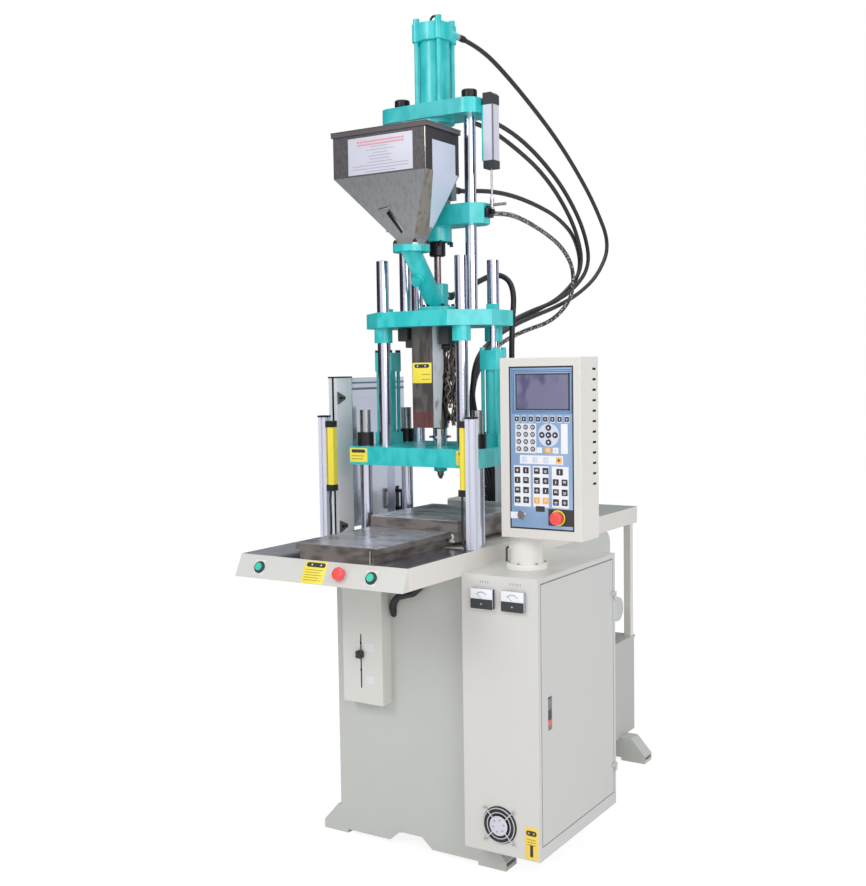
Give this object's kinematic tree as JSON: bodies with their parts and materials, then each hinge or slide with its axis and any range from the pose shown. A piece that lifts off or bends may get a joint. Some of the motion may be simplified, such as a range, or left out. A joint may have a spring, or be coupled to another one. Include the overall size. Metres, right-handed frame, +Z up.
{
  "type": "vertical injection moulding machine",
  "caption": "Vertical plastic injection moulding machine with a sliding mould table, hopper, oil-driven clamp and injection unit, electric cabinet and swivelling control pendant.",
  "frame": {"origin": "on the floor, at the middle of the machine's plan rectangle without its hoses", "axes": "+X to the operator's right, +Y to the back of the machine, +Z up"},
  "size_m": [0.999, 1.947, 2.733],
  "materials": {
    "beige_sheet": "satin",
    "grey_frame": "satin",
    "teal_cast": "gloss",
    "teal_panel": "satin",
    "chrome_rod": "polished",
    "steel": "machined",
    "stainless": "polished",
    "hopper_steel": "satin",
    "black_steel": "satin",
    "blue_grey_cast": "satin",
    "aluminium_post": "anodised",
    "yellow_unit": "satin",
    "blue_motor": "gloss",
    "black_rubber": "matt",
    "black_plastic": "matt",
    "white_plastic": "satin",
    "green_button": "gloss",
    "red_stop": "gloss"
  },
  "bodies": {
    "frame": {"floor_beams": "grey_frame", "body_frame": "grey_frame", "oil_tank": "grey_frame", "table_frame": "beige_sheet", "worktop_sheet": "stainless", "fixed_platen": "grey_frame", "clamp_cylinder": "grey_frame", "slide_rail": "steel", "slot_box": "beige_sheet", "curtain_posts": "aluminium_post", "curtain_units": "yellow_unit", "guard_post": "beige_sheet", "electric_cabinet": "beige_sheet", "panel_meters": "black_plastic", "fan_guard": "chrome_rod", "pendant_column": "beige_sheet", "pump_motor": "blue_motor", "valve_cover": "beige_sheet"},
    "clamp": {"middle_platen": "teal_cast", "tie_bars": "chrome_rod", "guide_rods": "chrome_rod", "lower_yoke": "grey_frame", "clamp_ram": "chrome_rod", "lift_cylinders": "teal_cast"},
    "carriage": {"upper_plate": "teal_cast", "lift_rods": "chrome_rod", "barrel": "steel", "heater_bands": "stainless", "barrel_cover": "stainless", "feed_throat": "teal_cast", "hopper": "hopper_steel", "tall_rods": "chrome_rod", "top_plate": "teal_cast", "top_cylinder": "teal_cast", "sensor_body": "aluminium_post", "cylinder_top_hose": "black_rubber", "cylinder_foot_hose": "black_rubber", "cylinder_drain_hose": "black_rubber", "throat_hose": "black_rubber"},
    "crosshead": {"crosshead": "teal_cast", "screw_motor": "black_steel", "piston_rod": "chrome_rod", "sensor_rod": "steel", "motor_inlet_hose": "black_rubber", "motor_outlet_hose": "black_rubber"},
    "screw": {"screw": "steel"},
    "mould_table": {"slide_block": "steel"},
    "lid": {"hopper_lid": "hopper_steel"},
    "door": {"cabinet_door": "beige_sheet"},
    "latch": {"cabinet_latch": "black_plastic"},
    "guard": {"guard_door": "beige_sheet"},
    "pendant": {"pendant": "beige_sheet"},
    "pendant_estop": {"pendant_estop": "red_stop"},
    "key": {"key_switch": "steel"},
    "lever": {"lock_lever": "steel"},
    "button_left": {"button_left": "green_button"},
    "button_right": {"button_right": "green_button"},
    "table_estop": {"table_estop": "red_stop"},
    "fan": {"fan_rotor": "black_plastic"},
    "knob": {"clamp_knob": "black_plastic"}
  },
  "joints": [
    {"name": "block_slide", "type": "slide", "parent": "frame", "child": "mould_table", "axis": [0, -1, 0], "range_m": [0, 0.4]},
    {"name": "clamp_stroke", "type": "slide", "parent": "frame", "child": "clamp", "axis": [0, 0, -1], "range_m": [0, 0.1]},
    {"name": "carriage_lift", "type": "slide", "parent": "clamp", "child": "carriage", "axis": [0, 0, 1], "range_m": [0, 0.12], "deforming": ["cylinder_top_hose", "cylinder_foot_hose", "cylinder_drain_hose", "throat_hose"]},
    {"name": "injection_slide", "type": "slide", "parent": "carriage", "child": "crosshead", "axis": [0, 0, 1], "range_m": [-0.075, 0.075], "deforming": ["motor_inlet_hose", "motor_outlet_hose"]},
    {"name": "screw_turn", "type": "hinge", "parent": "crosshead", "child": "screw", "pos_m": [-0.1155, -0.22639, 2], "axis": [0, 0, 1], "continuous": true},
    {"name": "lid_hinge", "type": "hinge", "parent": "carriage", "child": "lid", "pos_m": [-0.1155, -0.27788, 2.3305], "axis": [-1, 0, 0], "range_deg": [0, 65]},
    {"name": "cabinet_hinge", "type": "hinge", "parent": "frame", "child": "door", "pos_m": [0.407, 0.02661, 0.5], "axis": [0, 0, 1], "range_deg": [0, 110]},
    {"name": "latch_pull", "type": "hinge", "parent": "door", "child": "latch", "pos_m": [0.396, -0.45238, 0.57], "axis": [0, -1, 0], "range_deg": [0, 30], "stiffness_Nm_per_rad": 0.05},
    {"name": "guard_hinge", "type": "hinge", "parent": "frame", "child": "guard", "pos_m": [-0.4915, -0.25638, 1.2], "axis": [0, 0, 1], "range_deg": [0, 90]},
    {"name": "pendant_swivel", "type": "hinge", "parent": "frame", "child": "pendant", "pos_m": [0.2725, -0.34638, 1.02], "axis": [0, 0, 1], "range_deg": [-90, 90]},
    {"name": "pendant_stop_push", "type": "slide", "parent": "pendant", "child": "pendant_estop", "axis": [0, 1, 0], "range_m": [0, 0.005], "stiffness_N_per_m": 800, "springref_m": -0.002},
    {"name": "key_turn", "type": "hinge", "parent": "pendant", "child": "key", "pos_m": [0.3005, -0.42639, 1.121], "axis": [0, 1, 0], "range_deg": [0, 90]},
    {"name": "lever_turn", "type": "hinge", "parent": "frame", "child": "lever", "pos_m": [0.2225, -0.34638, 1.005], "axis": [1, 0, 0], "range_deg": [-60, 60]},
    {"name": "button_left_push", "type": "slide", "parent": "frame", "child": "button_left", "axis": [0, 0.8944, -0.4472], "range_m": [0, 0.003], "stiffness_N_per_m": 400, "springref_m": -0.002},
    {"name": "button_right_push", "type": "slide", "parent": "frame", "child": "button_right", "axis": [0, 0.8944, -0.4472], "range_m": [0, 0.003], "stiffness_N_per_m": 400, "springref_m": -0.002},
    {"name": "table_stop_push", "type": "slide", "parent": "frame", "child": "table_estop", "axis": [0, 0.8944, -0.4472], "range_m": [0, 0.005], "stiffness_N_per_m": 800, "springref_m": -0.002},
    {"name": "fan_turn", "type": "hinge", "parent": "frame", "child": "fan", "pos_m": [0.2655, -0.50638, 0.183], "axis": [0, 1, 0], "continuous": true},
    {"name": "knob_slide", "type": "slide", "parent": "frame", "child": "knob", "axis": [0, 0, 1], "range_m": [-0.1, 0.055]}
  ]
}
